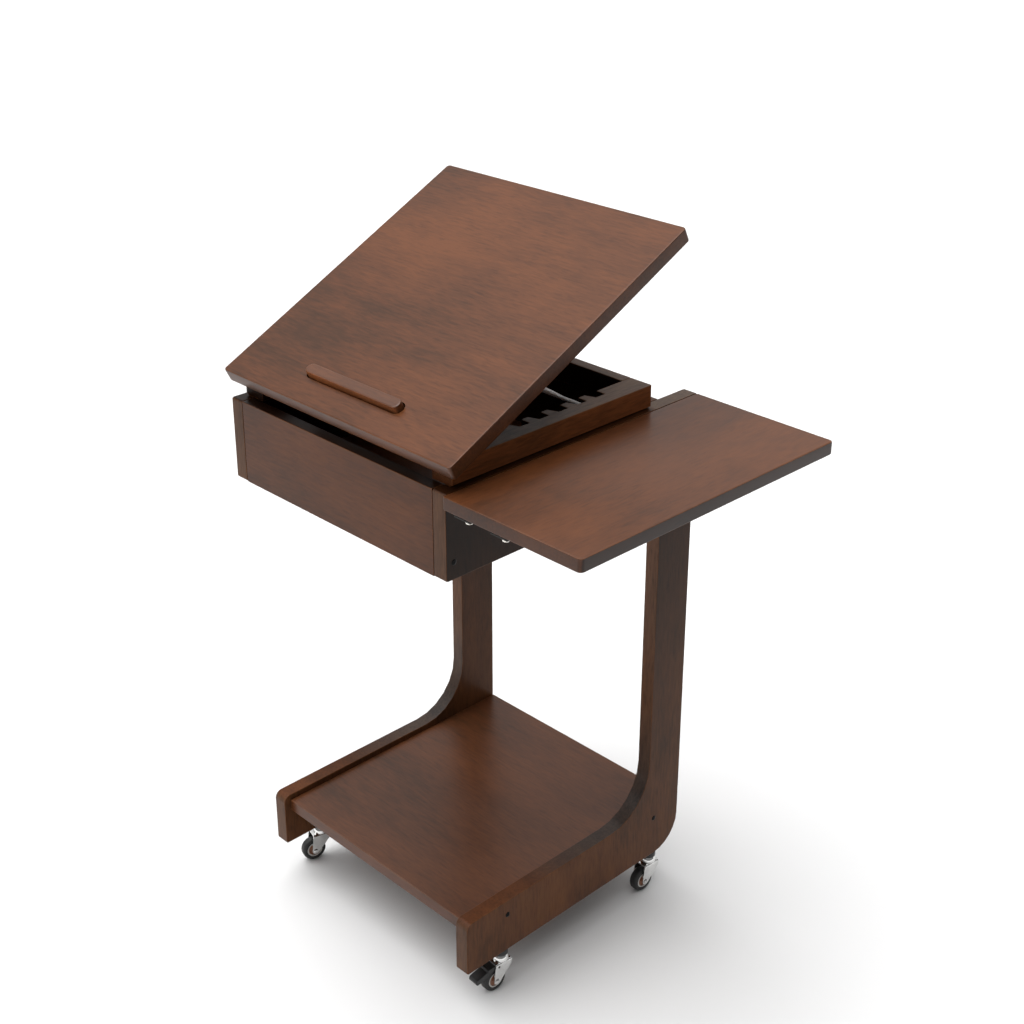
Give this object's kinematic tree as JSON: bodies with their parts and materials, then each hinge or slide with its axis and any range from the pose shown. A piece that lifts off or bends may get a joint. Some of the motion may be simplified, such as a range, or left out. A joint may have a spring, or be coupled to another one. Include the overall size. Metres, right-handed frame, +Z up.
{
  "type": "c-shaped end table",
  "caption": "Rolling C-shaped end table in dark stained wood, with a tilting top on a notched frame, a shallow tray under it, a folding side leaf, a low shelf and swivel casters.",
  "frame": {"origin": "on the floor, under the middle of the box round the whole table with its leaf up", "axes": "+Z up, +X to the side of the leaf, +Y from the front, where the tilting top is hinged, to the uprights at the back"},
  "size_m": [0.5286, 0.37, 0.8315],
  "materials": {
    "wood": "dark stain under a satin lacquer",
    "chrome": "polished plating",
    "steel": "zinc plated sheet",
    "plastic": "black moulding",
    "hub": "brown moulding with a pale rim",
    "tyre": "black tread"
  },
  "bodies": {
    "base": {"side_frame_left": "wood", "side_frame_right": "wood", "shelf": "wood", "front_panel": "wood", "back_panel": "wood", "box_bottom": "wood", "rail_left": "wood", "rail_right": "wood", "rail_rear": "wood", "rail_front": "wood", "board_hinge_frame_plate_left": "steel", "board_hinge_frame_plate_right": "steel", "board_hinge_pin_left": "steel", "board_hinge_pin_right": "steel", "leaf_hinge_plate_front": "steel", "leaf_hinge_plate_rear": "steel", "leaf_hinge_pin_front": "steel", "leaf_hinge_pin_rear": "steel", "caster_cap_front_left": "plastic", "caster_cap_front_right": "plastic", "caster_cap_rear_left": "plastic", "caster_cap_rear_right": "plastic", "caster_head_front_left": "chrome", "caster_head_front_right": "chrome", "caster_head_rear_left": "chrome", "caster_head_rear_right": "chrome"},
    "board": {"tilt_board": "wood", "stop_housing": "plastic", "board_hinge_board_plate_left": "steel", "board_hinge_board_plate_right": "steel", "prop_bracket_left": "steel", "prop_bracket_right": "steel"},
    "prop_wire": {"prop": "chrome"},
    "stop": {"stop_bar": "wood"},
    "leaf": {"side_leaf": "wood", "leaf_hinge_strap_front": "steel", "leaf_hinge_strap_rear": "steel"},
    "caster_front_left": {"caster_fork_front_left": "chrome", "caster_axle_front_left": "chrome"},
    "caster_front_right": {"caster_fork_front_right": "chrome", "caster_axle_front_right": "chrome"},
    "caster_rear_left": {"caster_fork_rear_left": "chrome", "caster_axle_rear_left": "chrome"},
    "caster_rear_right": {"caster_fork_rear_right": "chrome", "caster_axle_rear_right": "chrome"},
    "wheel_front_left": {"wheel_hub_front_left": "hub", "wheel_tyre_front_left": "tyre"},
    "wheel_front_right": {"wheel_hub_front_right": "hub", "wheel_tyre_front_right": "tyre"},
    "wheel_rear_left": {"wheel_hub_rear_left": "hub", "wheel_tyre_rear_left": "tyre"},
    "wheel_rear_right": {"wheel_hub_rear_right": "hub", "wheel_tyre_rear_right": "tyre"},
    "pedal_front_right": {"brake_pedal_front_right": "plastic"},
    "pedal_rear_left": {"brake_pedal_rear_left": "plastic"}
  },
  "joints": [
    {"name": "board_tilt", "type": "hinge", "parent": "base", "child": "board", "pos_m": [-0.08525, -0.1529, 0.6647], "axis": [1, 0, 0], "range_deg": [-26.6, 20]},
    {"name": "prop_fold", "type": "hinge", "parent": "board", "child": "prop_wire", "pos_m": [-0.08525, -0.04967, 0.71315], "axis": [1, 0, 0], "range_deg": [0, 60]},
    {"name": "stop_press", "type": "slide", "parent": "board", "child": "stop", "axis": [0, -0.4478, 0.8942], "range_m": [-0.0073, 0]},
    {"name": "leaf_fold", "type": "hinge", "parent": "base", "child": "leaf", "pos_m": [0.08855, 0, 0.62], "axis": [0, 1, 0], "range_deg": [0, 90]},
    {"name": "swivel_front_left", "type": "hinge", "parent": "base", "child": "caster_front_left", "pos_m": [-0.24625, -0.103, 0.04], "axis": [0, 0, 1], "continuous": true},
    {"name": "swivel_front_right", "type": "hinge", "parent": "base", "child": "caster_front_right", "pos_m": [0.07575, -0.103, 0.04], "axis": [0, 0, 1], "continuous": true},
    {"name": "swivel_rear_left", "type": "hinge", "parent": "base", "child": "caster_rear_left", "pos_m": [-0.24625, 0.145, 0.04], "axis": [0, 0, 1], "continuous": true},
    {"name": "swivel_rear_right", "type": "hinge", "parent": "base", "child": "caster_rear_right", "pos_m": [0.07575, 0.145, 0.04], "axis": [0, 0, 1], "continuous": true},
    {"name": "spin_front_left", "type": "hinge", "parent": "caster_front_left", "child": "wheel_front_left", "pos_m": [-0.24928, -0.11357, 0.015], "axis": [0.9613, -0.2756, 0], "continuous": true},
    {"name": "spin_front_right", "type": "hinge", "parent": "caster_front_right", "child": "wheel_front_right", "pos_m": [0.07498, -0.11397, 0.015], "axis": [0.9976, -0.0698, 0], "continuous": true},
    {"name": "spin_rear_left", "type": "hinge", "parent": "caster_rear_left", "child": "wheel_rear_left", "pos_m": [-0.24778, 0.13411, 0.015], "axis": [0.9903, -0.1392, 0], "continuous": true},
    {"name": "spin_rear_right", "type": "hinge", "parent": "caster_rear_right", "child": "wheel_rear_right", "pos_m": [0.07498, 0.13403, 0.015], "axis": [0.9976, -0.0698, 0], "continuous": true},
    {"name": "brake_front_right", "type": "hinge", "parent": "caster_front_right", "child": "pedal_front_right", "pos_m": [0.07516, -0.11148, 0.0332], "axis": [0.9976, -0.0698, 0], "range_deg": [-6, 0]},
    {"name": "brake_rear_left", "type": "hinge", "parent": "caster_rear_left", "child": "pedal_rear_left", "pos_m": [-0.24743, 0.13658, 0.0332], "axis": [0.9903, -0.1392, 0], "range_deg": [-6, 0]}
  ]
}
